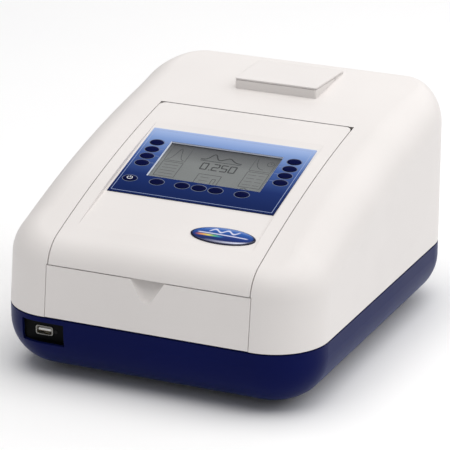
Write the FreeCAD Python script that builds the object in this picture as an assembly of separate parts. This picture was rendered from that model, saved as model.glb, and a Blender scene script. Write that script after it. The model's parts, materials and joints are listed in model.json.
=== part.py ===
"""Bench-top scanning spectrophotometer, in millimetres.

+Z is up, -Y is the front, and the origin is on the table under the middle of the case.
The case is a blue lower tub and a white top cover, which share one rounded hull form.
A hinged lid with the display and keypad covers the sample chamber and the optics.
"""
import FreeCAD
import Part
import math
import os
from FreeCAD import Placement, Rotation, Vector

# Case
WIDTH = 275.0
DEPTH = 334.0
FOOT_HEIGHT = 4.0
PARTING_Z = 55.0
PLAN_RADIUS = 46.0
KEEL_RADIUS = 38.0
WALL = 3.0
FRONT_LEAN = 7.0
RIM_GROOVE = 1.2
TOP_RISE_FRONT = (-146.1, 117.4)
TOP_RISE_MIDDLE = (-51.9, 149.9)
TOP_RISE_BACK = (50.0, 173.6)
REAR_CROWN_RADIUS = 1500.0
BROW_RADIUS = 28.0
SHOULDER_FRONT_RADIUS = 32.0
SHOULDER_BACK_RADIUS = 26.0
TAIL_RADIUS = 7.0
HULL_TOP = 260.0
FAR = 400.0

# Lid and the fixed front panel below it
LID_HALF = 87.4
LID_BACK = 50.5
LID_FRONT = -161.0
LID_BOTTOM = 98.4
LID_REAR_BOTTOM = 150.0
LID_CORNER = 6.0
SEAM = 0.8
HINGE_Y = 44.0
HINGE_Z = 166.7
PIN_R = 2.5
EAR_R = 5.5
RUN = 0.05
INSERT_HALF = 88.6
FLANGE = 2.5
SCOOP_BOTTOM = 79.8
SCOOP_R = 6.0
SCOOP_PROUD = 2.5
SCOOP_FLARE = 38.0
SCOOP_TILT = 20.0

# Inner deck and sample chamber
DECK_FRONT = -157.5
DECK_DROP = 3.0
DECK_THICK = 2.5
WELL_HALF = 52.0
WELL_FRONT = -148.0
WELL_BACK = -62.0
WELL_FLOOR = 35.0
WELL_WALL = 2.5
BEAM_Y = -105.0
BEAM_Z = 62.0
LENS_R = 6.0
HOLDER_HALF = 17.0
HOLDER_TOP = 75.0
CELL_SLOT = 12.7
CELL_FLOOR = 47.0

# Control panel: a plane recessed in the lid, with its own frame at the panel's top edge
PANEL_Y = 7.3
PANEL_Z = 164.3
PANEL_SLOPE = math.degrees(math.atan(0.2964))
FACET_HALF = 76.0
PANEL_HALF = 73.45
PANEL_LENGTH = 94.0
OVERLAY = 0.8
LCD_HALF = 50.6
LCD_TOP = 16.0
LCD_BOTTOM = 66.9
LCD_CLEARANCE = 0.9
LCD_DEPTH = 1.2
KEY_LENGTH = 12.6
KEY_WIDTH = 8.4
KEY_GAP = 0.2
KEY_RISE = 0.7
KEY_TRAVEL = 0.8
KEY_FLANGE = 1.0
KEY_REST_GAP = 0.2
DOME_TOP = WALL + 2.8
DOME_HEIGHT = 0.2
SIDE_KEY_X = 61.8
SIDE_KEY_ROWS = (20.8, 31.0, 41.0, 51.2)
LOW_KEY_ROW = 74.2
LOW_KEYS_X = (-37.9, -15.3, -0.3, 14.5, 37.6)
POWER_KEY_X = -62.2
BOARD = 1.6
BADGE = (45.5, 130.5)
BADGE_LENGTH = 55.6
BADGE_WIDTH = 21.0

# Printer bay on the roof, closed by a lift-off plate
BAY_FRONT = 91.9
BAY_BACK = 150.0
BAY_FRONT_HALF = 37.4
BAY_BACK_HALF = 39.4
BAY_TOP = 189.8
BAY_PLATE = 1.2
BAY_GAP = 0.6
BAY_NOTCH_Y = 131.5
BAY_HOLE_HALF = 34.4
BAY_RIM = 3.6
BAY_CORNER = 2.0
BAY_FLOOR = 132.0

# USB bay in the tub's front left corner
USB_LEFT = -111.0
USB_RIGHT = -72.0
USB_LOW = 31.0
USB_HIGH = 50.0
USB_BACK = -159.0
USB_X = -93.0
USB_Z = 40.0
USB_WIDE = 14.3
USB_TALL = 7.0
USB_SKIN = 0.5
LED_X = -82.6

# Optical bench, below the deck
BENCH_LOW = 34.0
BENCH_TOP = 38.0
BENCH_HALF = 112.0
GRATING_X = -78.0
GRATING_Y = 95.0
GEAR_MODULE = 0.8
SECTOR_TEETH = 72
PINION_TEETH = 18
BACKLASH = 0.12
GEAR_LOW = 41.0
GEAR_THICK = 4.0
SLIT_IN = (-28.0, 10.0)
LAMP_DISTANCE = 50.0
WHEEL_X = -92.0
WHEEL_Y = -62.0
WHEEL_R = 20.5
FILTER_R = 4.5
MOTOR_R = 10.0
SCREW_SITES = [(x, y) for x in (-122.0, 122.0) for y in (-85.0, 85.0)]
SCREW_R = 1.5
SCREW_HEAD_R = 3.0
FOOT_SITES = [(x, y) for x in (-80.0, 80.0) for y in (-105.0, 105.0)]
FOOT_R = 9.0
BENCH_POSTS = [(x, y) for x in (-98.0, 98.0) for y in (-95.0, 100.0)]
BOARD_POSTS = [(x, y) for x in (-78.0, 78.0) for y in (-98.0, 62.0)]
BOARD_LOW = 14.0

# Rear panel
REAR_HALF = 91.0
REAR_LOW = 60.0
REAR_HIGH = 114.0
REAR_PLATE = 2.0
REAR_LIP = 4.0
PORT_Z = 87.0
FAN_X = 62.0
FAN_HALF = 20.0
FAN_DEPTH = 10.0
FAN_BORE = 18.5
FAN_BLADES = 7
SWITCH_X = -70.0
SWITCH_HALF = 8.0
SWITCH_HALF_HEIGHT = 12.0
SWITCH_TILT = 8.0
JACK_X = -45.0
JACK_R = 6.0
SERIAL_X = -10.0
SERIAL_HALF = 12.5
DATA_X = 24.0
DATA_HALF = 6.0
SOCKET_HALF_HEIGHT = 5.5
REAR_INNER = DEPTH / 2 - WALL
SWITCH_PIVOT = REAR_INNER - 5

X, Y, Z = Vector(1, 0, 0), Vector(0, 1, 0), Vector(0, 0, 1)


def box(x0, x1, y0, y1, z0, z1):
    return Part.makeBox(x1 - x0, y1 - y0, z1 - z0, Vector(x0, y0, z0))


def rod(radius, start, end):
    start, end = Vector(*start), Vector(*end)
    return Part.makeCylinder(radius, (end - start).Length, start, end - start)


def polygon(points):
    return Part.Face(Part.makePolygon([Vector(*p) for p in points + points[:1]]))


def side_prism(points, x0, x1):
    """Extrude an outline of (y, z) points along X."""
    return polygon([(x0, y, z) for y, z in points]).extrude(Vector(x1 - x0, 0, 0))


def union(first, *others):
    return first.fuse(list(others)).removeSplitter()


def edges_along(shape, direction, keep):
    """Straight edges parallel to a direction whose middle passes the keep test."""
    found = []
    for edge in shape.Edges:
        if edge.Curve.TypeId != "Part::GeomLine":
            continue
        if edge.Curve.Direction.cross(direction).Length > 1e-6:
            continue
        if keep(edge.CenterOfMass):
            found.append(edge)
    return found


def on_panel(shape):
    """Place a shape drawn flat: x across, y up the slope from the top edge, z out."""
    return shape.transformed(Placement(Vector(0, PANEL_Y, PANEL_Z),
                                       Rotation(X, PANEL_SLOPE)).toMatrix())


def panel_box(half, top, bottom, low, high):
    return on_panel(box(-half, half, -bottom, -top, low, high))


def oval(length, width, low, high, x=0.0, down=0.0):
    ellipse = Part.Ellipse(Vector(x, -down, low), length / 2, width / 2)
    return Part.Face(Part.Wire(ellipse.toShape())).extrude(Vector(0, 0, high - low))


# Hull form

def circle_through(p, q, r):
    """Centre and radius of the circle through three (y, z) points."""
    turn = 2 * (p[0] * (q[1] - r[1]) + q[0] * (r[1] - p[1]) + r[0] * (p[1] - q[1]))
    squares = [a * a + b * b for a, b in (p, q, r)]
    cy = (squares[0] * (q[1] - r[1]) + squares[1] * (r[1] - p[1]) + squares[2] * (p[1] - q[1])) / turn
    cz = (squares[0] * (r[0] - q[0]) + squares[1] * (p[0] - r[0]) + squares[2] * (q[0] - p[0])) / turn
    return (cy, cz), math.hypot(p[0] - cy, p[1] - cz)


FRONT_CENTRE, FRONT_RADIUS = circle_through(TOP_RISE_FRONT, TOP_RISE_MIDDLE, TOP_RISE_BACK)
CROWN_RATIO = REAR_CROWN_RADIUS / FRONT_RADIUS
REAR_CENTRE = tuple(b + (c - b) * CROWN_RATIO for b, c in zip(TOP_RISE_BACK, FRONT_CENTRE))


def arc_height(centre, radius, y):
    return centre[1] + math.sqrt(radius ** 2 - (y - centre[0]) ** 2)


def roof_height(y, inset=0.0):
    if y < TOP_RISE_BACK[0]:
        return arc_height(FRONT_CENTRE, FRONT_RADIUS - inset, y)
    return arc_height(REAR_CENTRE, REAR_CROWN_RADIUS - inset, y)


def plan_wire(inset, z, lean=FRONT_LEAN):
    """Rounded rectangle at height z; its front side leans back by the given angle."""
    half = WIDTH / 2 - inset
    slope = math.radians(lean)
    front = -DEPTH / 2 + (z - PARTING_Z) * math.tan(slope) + inset / math.cos(slope)
    back = DEPTH / 2 - inset
    r = PLAN_RADIUS - inset
    k = r * (1 - math.sqrt(0.5))
    corners = []
    for sx, y, sy in ((1, front, 1), (1, back, -1), (-1, back, -1), (-1, front, 1)):
        along_y = Vector(sx * half, y + sy * r, z)
        along_x = Vector(sx * (half - r), y, z)
        middle = Vector(sx * (half - k), y + sy * k, z)
        corners.append((along_y, middle, along_x) if sx == sy * -1 else (along_x, middle, along_y))
    edges = []
    for corner, following in zip(corners, corners[1:] + corners[:1]):
        edges.append(Part.Arc(*corner).toShape())
        edges.append(Part.LineSegment(corner[2], following[0]).toShape())
    return Part.Wire(edges)


def roof_prism(inset):
    """Everything below the roof line, which is two arcs tangent to each other."""
    front, back = -DEPTH, DEPTH
    ratio = (FRONT_RADIUS - inset) / FRONT_RADIUS
    join = [c + (b - c) * ratio for b, c in zip(TOP_RISE_BACK, FRONT_CENTRE)]

    def roof_point(y):
        return Vector(-FAR, y, roof_height(y, inset))

    joint = Vector(-FAR, *join)
    low_back, low_front = Vector(-FAR, back, 0), Vector(-FAR, front, 0)
    outline = Part.Wire([
        Part.Arc(roof_point(front), roof_point((front + join[0]) / 2), joint).toShape(),
        Part.Arc(joint, roof_point((back + join[0]) / 2), roof_point(back)).toShape(),
        Part.LineSegment(roof_point(back), low_back).toShape(),
        Part.LineSegment(low_back, low_front).toShape(),
        Part.LineSegment(low_front, roof_point(front)).toShape()])
    return Part.Face(outline).extrude(Vector(2 * FAR, 0, 0)), join[0]


def shoulder_radius(y):
    """Rounding of the side edges, which grows a little sharper behind the lid."""
    start, end = TOP_RISE_BACK[0], DEPTH / 2 - PLAN_RADIUS
    share = min(max((y - start) / (end - start), 0.0), 1.0)
    return SHOULDER_FRONT_RADIUS + (SHOULDER_BACK_RADIUS - SHOULDER_FRONT_RADIUS) * share


def rounding_of(edge, inset, seam_y):
    """Radii of a roof edge, met clockwise from above, or None for an edge that stays sharp."""
    middle = edge.valueAt((edge.FirstParameter + edge.LastParameter) / 2)
    if abs(middle.z - roof_height(middle.y, inset)) > 1.0:
        return None
    across = edge.BoundBox.XLength > WIDTH / 3
    if across and abs(middle.y - seam_y) < 1.0:
        return None
    end = (BROW_RADIUS if middle.y < 0 else TAIL_RADIUS) - inset
    if across:
        return end, end
    if edge.BoundBox.YLength > PLAN_RADIUS * 1.3:
        radii = [shoulder_radius(edge.BoundBox.YMin) - inset, shoulder_radius(edge.BoundBox.YMax) - inset]
        return tuple(radii) if middle.x < 0 else tuple(reversed(radii))
    side = shoulder_radius(middle.y) - inset
    return (end, side) if middle.x * middle.y > 0 else (side, end)


def hull(inset):
    """The cover's closed form, with its roof edges rounded, above a little under the parting."""
    low = PARTING_Z - 5.0
    walls = Part.makeLoft([plan_wire(inset, low), plan_wire(inset, HULL_TOP)], True, True)
    prism, seam_y = roof_prism(inset)
    block = walls.common(prism).Solids[0]
    document = FreeCAD.newDocument()
    base = document.addObject("Part::Feature", "Block")
    base.Shape = block
    rounded = document.addObject("Part::Fillet", "Rounded")
    rounded.Base = base
    radii = [(i, rounding_of(edge, inset, seam_y)) for i, edge in enumerate(block.Edges, 1)]
    rounded.Edges = [(i, *pair) for i, pair in radii if pair]
    document.recompute()
    solid = rounded.Shape.Solids[0].copy()
    FreeCAD.closeDocument(document.Name)
    return solid


def under_lid(y):
    """Height of the lid's flat underside."""
    rise = (LID_REAR_BOTTOM - LID_BOTTOM) / (LID_BACK - LID_FRONT)
    return LID_BOTTOM + rise * (y - LID_FRONT)


def under_slab(y0, y1, low, high, half):
    """A slab parallel to the lid's underside, between two offsets from it."""
    outline = [(y0, under_lid(y0) + low), (y1, under_lid(y1) + low),
               (y1, under_lid(y1) + high), (y0, under_lid(y0) + high)]
    return side_prism(outline, -half, half)


def lid_region(grow, corner):
    """The upright prism that the lid fills, or with grow the opening it closes."""
    half, back = LID_HALF + grow, LID_BACK + grow
    outline = [(-FAR, under_lid(-FAR) - grow), (back, under_lid(back) - grow), (back, FAR), (-FAR, FAR)]
    prism = side_prism(outline, -half, half)
    return prism.makeFillet(corner, edges_along(prism, Z, lambda m: m.y > 0))


def facet_space(half, depth):
    """Everything above the control panel's plane, or above a plane deeper than it."""
    return on_panel(box(-half, half, -FAR, FAR, -depth, FAR))


# Case

def tub_form(inset):
    block = Part.Face(plan_wire(inset, PARTING_Z, 0.0)).extrude(Vector(0, 0, FOOT_HEIGHT + inset - PARTING_Z))
    low = [e for e in block.Edges if abs(e.CenterOfMass.z - FOOT_HEIGHT - inset) < 0.01]
    return block.makeFillet(KEEL_RADIUS - inset, low)


def base_tub():
    outer, inner = tub_form(0.0), tub_form(WALL)
    posts = [rod(6.0, (x, y, 0), (x, y, PARTING_Z)) for x, y in SCREW_SITES]
    posts += [rod(5.0, (x, y, 0), (x, y, BENCH_LOW)) for x, y in BENCH_POSTS]
    posts += [rod(3.0, (x, y, 0), (x, y, BOARD_LOW)) for x, y in BOARD_POSTS]
    rim = box(-FAR, FAR, -FAR, FAR, PARTING_Z - RIM_GROOVE, FAR)
    groove = tub_form(0.0).cut(tub_form(RIM_GROOVE)).common(rim)
    tub = union(outer.cut(inner), *[post.common(outer) for post in posts]).cut(groove)
    tub = tub.cut([rod(SCREW_R + 0.2, (x, y, 0), (x, y, 60)) for x, y in SCREW_SITES])
    tub = tub.cut([rod(SCREW_HEAD_R + 0.6, (x, y, 0), (x, y, 30)) for x, y in SCREW_SITES])
    return tub.cut(box(USB_LEFT, USB_RIGHT, -200, USB_BACK + 9, USB_LOW, USB_HIGH))


def bay_outline(grow, z):
    front, back = BAY_FRONT - grow, BAY_BACK + grow
    return [(-BAY_FRONT_HALF - grow, front, z), (BAY_FRONT_HALF + grow, front, z),
            (BAY_BACK_HALF + grow, back, z), (-BAY_BACK_HALF - grow, back, z)]


def bay_wedge():
    """The raised frame on the sloping roof, with a shadow gap round the seat of its flat cover."""
    height = BAY_TOP - BAY_PLATE
    wedge = polygon(bay_outline(0.0, height - BAY_GAP)).extrude(Vector(0, 0, -25))
    seat = polygon(bay_outline(-BAY_GAP, height)).extrude(Vector(0, 0, -2 * BAY_GAP))
    rounded = [form.makeFillet(radius, edges_along(form, Z, lambda m: True))
               for form, radius in ((wedge, BAY_CORNER), (seat, BAY_CORNER - BAY_GAP))]
    return union(*rounded)


def bay_hole(low):
    return box(-BAY_HOLE_HALF, BAY_HOLE_HALF, BAY_FRONT + BAY_RIM, BAY_BACK - BAY_RIM, low, FAR)


def top_cover(outer, inner):
    flange_low = -DECK_DROP - DECK_THICK
    flange = under_slab(-200, 58, flange_low, FAR, LID_HALF + SEAM + FLANGE)
    flange = flange.cut(box(-LID_HALF - SEAM, LID_HALF + SEAM, -FAR, FAR, 0, FAR)).common(outer)
    bosses, bores = [], []
    for x, y in SCREW_SITES:
        side = math.copysign(1, x)
        rib = sorted((x, side * (WIDTH / 2 - 1)))
        bosses.append(rod(5.0, (x, y, PARTING_Z), (x, y, 80)))
        bosses.append(box(*rib, y - 1.5, y + 1.5, PARTING_Z, 80))
        bores.append(rod(SCREW_R, (x, y, 50), (x, y, 72)))
    shell = union(outer, bay_wedge()).cut(inner)
    shell = union(shell, flange, *bosses).cut(box(-FAR, FAR, -FAR, FAR, 0, PARTING_Z))
    rear_half = REAR_HALF - REAR_LIP
    openings = [
        lid_region(SEAM, 4.0),
        box(-INSERT_HALF - 0.4, INSERT_HALF + 0.4, -FAR, DECK_FRONT, 0, LID_BOTTOM),
        rod(math.hypot(LID_BACK - HINGE_Y, 7.0) + SEAM, (-LID_HALF - SEAM, HINGE_Y, HINGE_Z),
            (LID_HALF + SEAM, HINGE_Y, HINGE_Z)),
        rod(PIN_R, (-FAR / 4, HINGE_Y, HINGE_Z), (FAR / 4, HINGE_Y, HINGE_Z)),
        bay_hole(150),
        box(BAY_BACK_HALF - 4, BAY_BACK_HALF, BAY_NOTCH_Y - 0.5, BAY_NOTCH_Y + 0.5, BAY_TOP - 3.8, BAY_TOP),
        box(-rear_half, rear_half, REAR_INNER - 1, FAR, REAR_LOW + REAR_LIP, REAR_HIGH - REAR_LIP)]
    return shell.cut(openings + bores)


def finger_scoop():
    """A round-footed cone, tilted forward out of the panel's leaning face."""
    flare = math.radians(SCOOP_FLARE)
    turn = Vector(SCOOP_R * math.cos(flare), 0, -SCOOP_R * math.sin(flare))
    half_way = (math.pi / 2 + flare) / 2
    middle = Vector(SCOOP_R * math.cos(half_way), 0, -SCOOP_R * math.sin(half_way))
    foot, head = Vector(0, 0, -SCOOP_R), Vector(0, 0, SCOOP_BOTTOM)
    rim = Vector(turn.x + (head.z - turn.z) * math.tan(flare), 0, head.z)
    outline = Part.Wire([Part.Arc(foot, middle, turn).toShape(), Part.makePolygon([turn, rim, head, foot])])
    cone = Part.Face(outline).revolve(Vector(0, 0, 0), Z, 360)
    rise = SCOOP_BOTTOM + math.sqrt(SCOOP_R ** 2 - SCOOP_PROUD ** 2)
    face_y = -DEPTH / 2 + (rise - PARTING_Z) * math.tan(math.radians(FRONT_LEAN))
    cone.Placement = Placement(Vector(0, face_y - SCOOP_PROUD, rise), Rotation(X, SCOOP_TILT - FRONT_LEAN))
    return cone


def front_panel(outer, inner):
    """Fixed panel under the lid, with a finger scoop in its top edge."""
    window = box(-INSERT_HALF, INSERT_HALF, -FAR, DECK_FRONT - 0.2, PARTING_Z + 0.3, LID_BOTTOM - SEAM)
    pad = box(-18, 18, -FAR, WELL_FRONT - WELL_WALL - 0.5, 76, LID_BOTTOM - SEAM)
    skin = union(outer.cut(inner).common(window), outer.common(pad))
    return skin.cut(finger_scoop())


def inner_deck():
    """The sloping deck under the lid, open over the sample well."""
    half = LID_HALF + SEAM - 0.1
    deck = under_slab(DECK_FRONT, 58, -DECK_DROP - DECK_THICK, -DECK_DROP, half)
    upstand = box(-half, half, 55.5, 58, under_lid(56) - DECK_DROP - 1, 168)
    scoop_room = box(-18.5, 18.5, -FAR, WELL_FRONT - WELL_WALL - 0.1, 0, FAR)
    well = box(-WELL_HALF, WELL_HALF, WELL_FRONT, WELL_BACK, 0, FAR)
    return union(deck, upstand).cut([scoop_room, well])


def rubber_feet():
    feet = []
    for x, y in FOOT_SITES:
        foot = rod(FOOT_R, (x, y, 0), (x, y, FOOT_HEIGHT))
        feet.append(foot.makeFillet(1.0, [e for e in foot.Edges if e.CenterOfMass.z < 0.1]))
    return Part.makeCompound(feet)


def case_screws():
    screws = []
    for x, y in SCREW_SITES:
        shank = rod(SCREW_R - 0.01, (x, y, 29), (x, y, 70))
        screws.append(union(shank, rod(SCREW_HEAD_R, (x, y, 27), (x, y, 30))))
    return Part.makeCompound(screws)


# USB bay

def usb_bay_liner(tub_inner):
    block = box(USB_LEFT - 2, USB_RIGHT + 2, -200, USB_BACK + 2.5, USB_LOW - 2.5, USB_HIGH + 2)
    liner = block.common(tub_inner).cut(box(USB_LEFT, USB_RIGHT, -200, USB_BACK, USB_LOW, USB_HIGH))
    socket = box(USB_X - USB_WIDE / 2, USB_X + USB_WIDE / 2, -200, -100,
                 USB_Z - USB_TALL / 2, USB_Z + USB_TALL / 2)
    return liner.cut([socket, rod(1.5, (LED_X, -200, USB_Z), (LED_X, -100, USB_Z))])


def usb_socket_shell():
    half, tall = USB_WIDE / 2, USB_TALL / 2
    shell = box(USB_X - half, USB_X + half, USB_BACK - 0.5, USB_BACK + 14, USB_Z - tall, USB_Z + tall)
    return shell.cut(box(USB_X - half + USB_SKIN, USB_X + half - USB_SKIN, USB_BACK - 1, USB_BACK + 13,
                         USB_Z - tall + USB_SKIN, USB_Z + tall - USB_SKIN))


def usb_socket_tongue():
    tongue = box(USB_X - 5.5, USB_X + 5.5, USB_BACK + 0.5, USB_BACK + 11, USB_Z - 0.4, USB_Z + 1.4)
    root = box(USB_X - 6, USB_X + 6, USB_BACK + 11, USB_BACK + 13, USB_Z - 2.8, USB_Z + 2.8)
    return union(tongue, root)


def usb_lamp():
    return rod(1.5, (LED_X, USB_BACK - 0.4, USB_Z), (LED_X, USB_BACK + 4, USB_Z))


# Sample chamber

def sample_chamber():
    outer_half = WELL_HALF + WELL_WALL
    front, back = WELL_FRONT - WELL_WALL, WELL_BACK + WELL_WALL
    top = -DECK_DROP - DECK_THICK
    outline = [(front, WELL_FLOOR - 3), (back, WELL_FLOOR - 3),
               (back, under_lid(back) + top), (front, under_lid(front) + top)]
    tub = side_prism(outline, -outer_half, outer_half)
    ledge = box(-outer_half - 7.5, outer_half + 7.5, -112, -70, BENCH_TOP, BENCH_TOP + 2.5)
    tub = union(tub, ledge).cut(box(-WELL_HALF, WELL_HALF, WELL_FRONT, WELL_BACK, WELL_FLOOR, FAR))
    return tub.cut(rod(LENS_R, (-FAR, BEAM_Y, BEAM_Z), (FAR, BEAM_Y, BEAM_Z)))


def cuvette_holder():
    """Single-cell block with a square slot, a light path along X and a base flange."""
    block = box(-HOLDER_HALF, HOLDER_HALF, BEAM_Y - HOLDER_HALF, BEAM_Y + HOLDER_HALF, WELL_FLOOR, HOLDER_TOP)
    block = block.makeFillet(2.0, edges_along(block, Z, lambda m: True))
    flange = box(-30, 30, BEAM_Y - 14, BEAM_Y + 14, WELL_FLOOR, WELL_FLOOR + 4)
    slot = CELL_SLOT / 2
    cuts = [box(-slot, slot, BEAM_Y - slot, BEAM_Y + slot, CELL_FLOOR, FAR),
            rod(3.0, (-50, BEAM_Y, BEAM_Z), (50, BEAM_Y, BEAM_Z))]
    cuts += [rod(1.7, (x, BEAM_Y, 30), (x, BEAM_Y, 50)) for x in (-24, 24)]
    return union(block, flange).cut(cuts)


def chamber_lenses():
    lenses = []
    for side in (-1, 1):
        ends = [(side * x, BEAM_Y, BEAM_Z) for x in (WELL_HALF, WELL_HALF + WELL_WALL)]
        lenses.append(rod(LENS_R - 0.02, *ends))
    return Part.makeCompound(lenses)


# Optical bench

def turned(shape, x, y, degrees):
    return shape.transformed(Placement(Vector(x, y, 0), Rotation(Z, degrees)).toMatrix())


def heading(start, end):
    """Angle about Z that turns -Y to point from start to end."""
    return math.degrees(math.atan2(end[0] - start[0], start[1] - end[1]))


TO_SLIT = heading((GRATING_X, GRATING_Y), SLIT_IN)
GRATING_TURN = TO_SLIT / 2
LAMP = (SLIT_IN[0] + LAMP_DISTANCE * math.sin(math.radians(TO_SLIT)),
        SLIT_IN[1] - LAMP_DISTANCE * math.cos(math.radians(TO_SLIT)))
CENTRES = GEAR_MODULE * (SECTOR_TEETH + PINION_TEETH) / 2
PINION_X = GRATING_X + CENTRES


def optical_bench():
    plate = box(-BENCH_HALF, BENCH_HALF, -115, 112, BENCH_LOW, BENCH_TOP)
    plate = plate.makeFillet(8.0, edges_along(plate, Z, lambda m: True))
    stand = turned(box(-11, 11, -9, -3, BENCH_TOP, BEAM_Z + 11), GRATING_X, BEAM_Y, -45)
    cradle = box(WHEEL_X - 8, WHEEL_X + 8, WHEEL_Y + 6, WHEEL_Y + 22, BENCH_TOP, BEAM_Z)
    bearing = rod(8.0, (GRATING_X, GRATING_Y, BENCH_LOW - 8), (GRATING_X, GRATING_Y, BENCH_TOP))
    cuts = [box(-58, 58, -200, -56, 0, 100),
            rod(MOTOR_R, (WHEEL_X, WHEEL_Y, BEAM_Z), (WHEEL_X, WHEEL_Y + 40, BEAM_Z)),
            rod(3.0 + RUN, (GRATING_X, GRATING_Y, 0), (GRATING_X, GRATING_Y, 60)),
            rod(3.5, (PINION_X, GRATING_Y, 0), (PINION_X, GRATING_Y, 60))]
    return union(plate, stand, cradle, bearing).cut(cuts)


def lamp_housing():
    case = box(-17, 17, -17, 17, BENCH_TOP, BEAM_Z + 24)
    case = case.makeFillet(2.0, edges_along(case, Z, lambda m: True))
    fins = [box(-14 + 7 * i, -12 + 7 * i, -15, 15, BEAM_Z + 24, BEAM_Z + 30) for i in range(5)]
    inside = box(-14.5, 14.5, -14.5, 14.5, BENCH_TOP + 3, BEAM_Z + 21)
    return turned(union(case, *fins).cut([inside, rod(5.0, (0, 0, BEAM_Z), (0, 30, BEAM_Z))]), *LAMP, TO_SLIT)


def lamp_bulb():
    tube = rod(6.0, (0, 0, BEAM_Z - 9), (0, 0, BEAM_Z + 12))
    tube = tube.makeFillet(4.0, [e for e in tube.Edges if e.CenterOfMass.z > BEAM_Z + 11])
    return turned(union(tube, rod(8.0, (0, 0, BENCH_TOP + 3), (0, 0, BEAM_Z - 9))), *LAMP, TO_SLIT)


def slit_plates():
    plates = []
    for x, y, angle in ((*SLIT_IN, TO_SLIT), (GRATING_X, -25.0, 0.0)):
        foot = box(-9, 9, -5, 5, BENCH_TOP, BENCH_TOP + 2)
        plate = union(box(-9, 9, -0.8, 0.8, BENCH_TOP, BEAM_Z + 12), foot)
        plates.append(turned(plate.cut(box(-0.5, 0.5, -5, 5, BEAM_Z - 5, BEAM_Z + 5)), x, y, angle))
    return Part.makeCompound(plates)


def fold_mirror():
    return turned(box(-10, 10, -3, 0, BEAM_Z - 10, BEAM_Z + 10), GRATING_X, BEAM_Y, -45)


def detector_board():
    board = box(68, 68 + BOARD, BEAM_Y - 20, BEAM_Y + 20, BENCH_TOP, BEAM_Z + 20)
    chips = [box(68 + BOARD, 68 + BOARD + 3, BEAM_Y + y - 4, BEAM_Y + y + 4, BEAM_Z - 14, BEAM_Z - 4)
             for y in (-11, 0, 11)]
    return union(board, *chips)


def photodiode():
    return union(rod(4.5, (62, BEAM_Y, BEAM_Z), (68, BEAM_Y, BEAM_Z)),
                 rod(5.5, (67, BEAM_Y, BEAM_Z), (68, BEAM_Y, BEAM_Z)))


def main_board():
    top = BOARD_LOW + BOARD
    board = box(-85, 85, -105, 70, BOARD_LOW, top)
    chips = [box(x, x + 14, y, y + 14, top, top + 1.9) for x in (-60, -20, 30) for y in (-80, -30, 20)]
    cans = [rod(4.0, (x, -95, top), (x, -95, top + 10.4)) for x in (-40, -28, 40, 52)]
    return union(board, *chips, *cans)


def power_module():
    case = box(55, 105, 40, 100, BENCH_TOP, BENCH_TOP + 32)
    return case.makeFillet(2.5, [e for e in case.Edges if e.CenterOfMass.z > BENCH_TOP + 1])


def stepper_motors():
    """One under the bench for the grating and one on the cradle for the filter wheel."""
    upright = rod(MOTOR_R, (PINION_X, GRATING_Y, BENCH_LOW - 18), (PINION_X, GRATING_Y, BENCH_LOW))
    upright = upright.cut(rod(1.5 + RUN, (PINION_X, GRATING_Y, BENCH_LOW - 12), (PINION_X, GRATING_Y, 60)))
    level = rod(MOTOR_R, (WHEEL_X, WHEEL_Y + 5, BEAM_Z), (WHEEL_X, WHEEL_Y + 22, BEAM_Z))
    level = level.cut(rod(1.5 + RUN, (WHEEL_X, WHEEL_Y, BEAM_Z), (WHEEL_X, WHEEL_Y + 16, BEAM_Z)))
    return Part.makeCompound([upright, level])


def involute(angle):
    return math.tan(angle) - angle


def tooth(teeth, centre):
    """Outline points of one involute tooth, from its right root to its left root."""
    pitch = GEAR_MODULE * teeth / 2
    base = pitch * math.cos(math.radians(20))
    root, tip = pitch - 1.25 * GEAR_MODULE, pitch + GEAR_MODULE
    half_pitch = math.pi / (2 * teeth) - BACKLASH / (2 * pitch) + involute(math.radians(20))
    flank = [(root, half_pitch - involute(0.0))] if root < base else []
    low = max(root, base)
    for step in range(5):
        radius = low + (tip - low) * step / 4
        flank.append((radius, half_pitch - involute(math.acos(base / radius))))
    right = [(r, centre - a) for r, a in flank]
    left = [(r, centre + a) for r, a in reversed(flank)]
    return [Vector(r * math.cos(a), r * math.sin(a), 0) for r, a in right + left]


def grating_table():
    """Turntable with its shaft and the toothed sector that the pinion drives."""
    points = []
    for i in range(-7, 8):
        points += tooth(SECTOR_TEETH, math.radians(i * 360 / SECTOR_TEETH))
    points += [Vector(0, 8, 0), Vector(-8, 0, 0), Vector(0, -8, 0)]
    sector = Part.Face(Part.makePolygon(points + points[:1])).extrude(Vector(0, 0, GEAR_THICK))
    sector = sector.translated(Vector(GRATING_X, GRATING_Y, GEAR_LOW))
    disc = rod(17.0, (GRATING_X, GRATING_Y, GEAR_LOW + GEAR_THICK), (GRATING_X, GRATING_Y, GEAR_LOW + 7))
    shaft = rod(3.0, (GRATING_X, GRATING_Y, BENCH_LOW - 9), (GRATING_X, GRATING_Y, GEAR_LOW + 5))
    collar = rod(5.0, (GRATING_X, GRATING_Y, BENCH_TOP + 0.1), (GRATING_X, GRATING_Y, GEAR_LOW + 1))
    return union(sector, disc, shaft, collar)


def diffraction_grating():
    low = GEAR_LOW + 7
    return turned(box(-12, 12, 0, 6, low, low + 24), GRATING_X, GRATING_Y, GRATING_TURN)


def grating_pinion():
    points = []
    for i in range(PINION_TEETH):
        points += tooth(PINION_TEETH, (i + 0.5) * 2 * math.pi / PINION_TEETH)
    pinion = Part.Face(Part.makePolygon(points + points[:1])).extrude(Vector(0, 0, GEAR_THICK))
    pinion = pinion.translated(Vector(PINION_X, GRATING_Y, GEAR_LOW))
    return union(pinion, rod(1.5, (PINION_X, GRATING_Y, BENCH_LOW - 11), (PINION_X, GRATING_Y, GEAR_LOW + 6)))


def filter_sites():
    reach = GRATING_X - WHEEL_X
    angles = [math.radians(60 * i) for i in range(6)]
    return [(WHEEL_X + reach * math.cos(a), BEAM_Z + reach * math.sin(a)) for a in angles]


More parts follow.
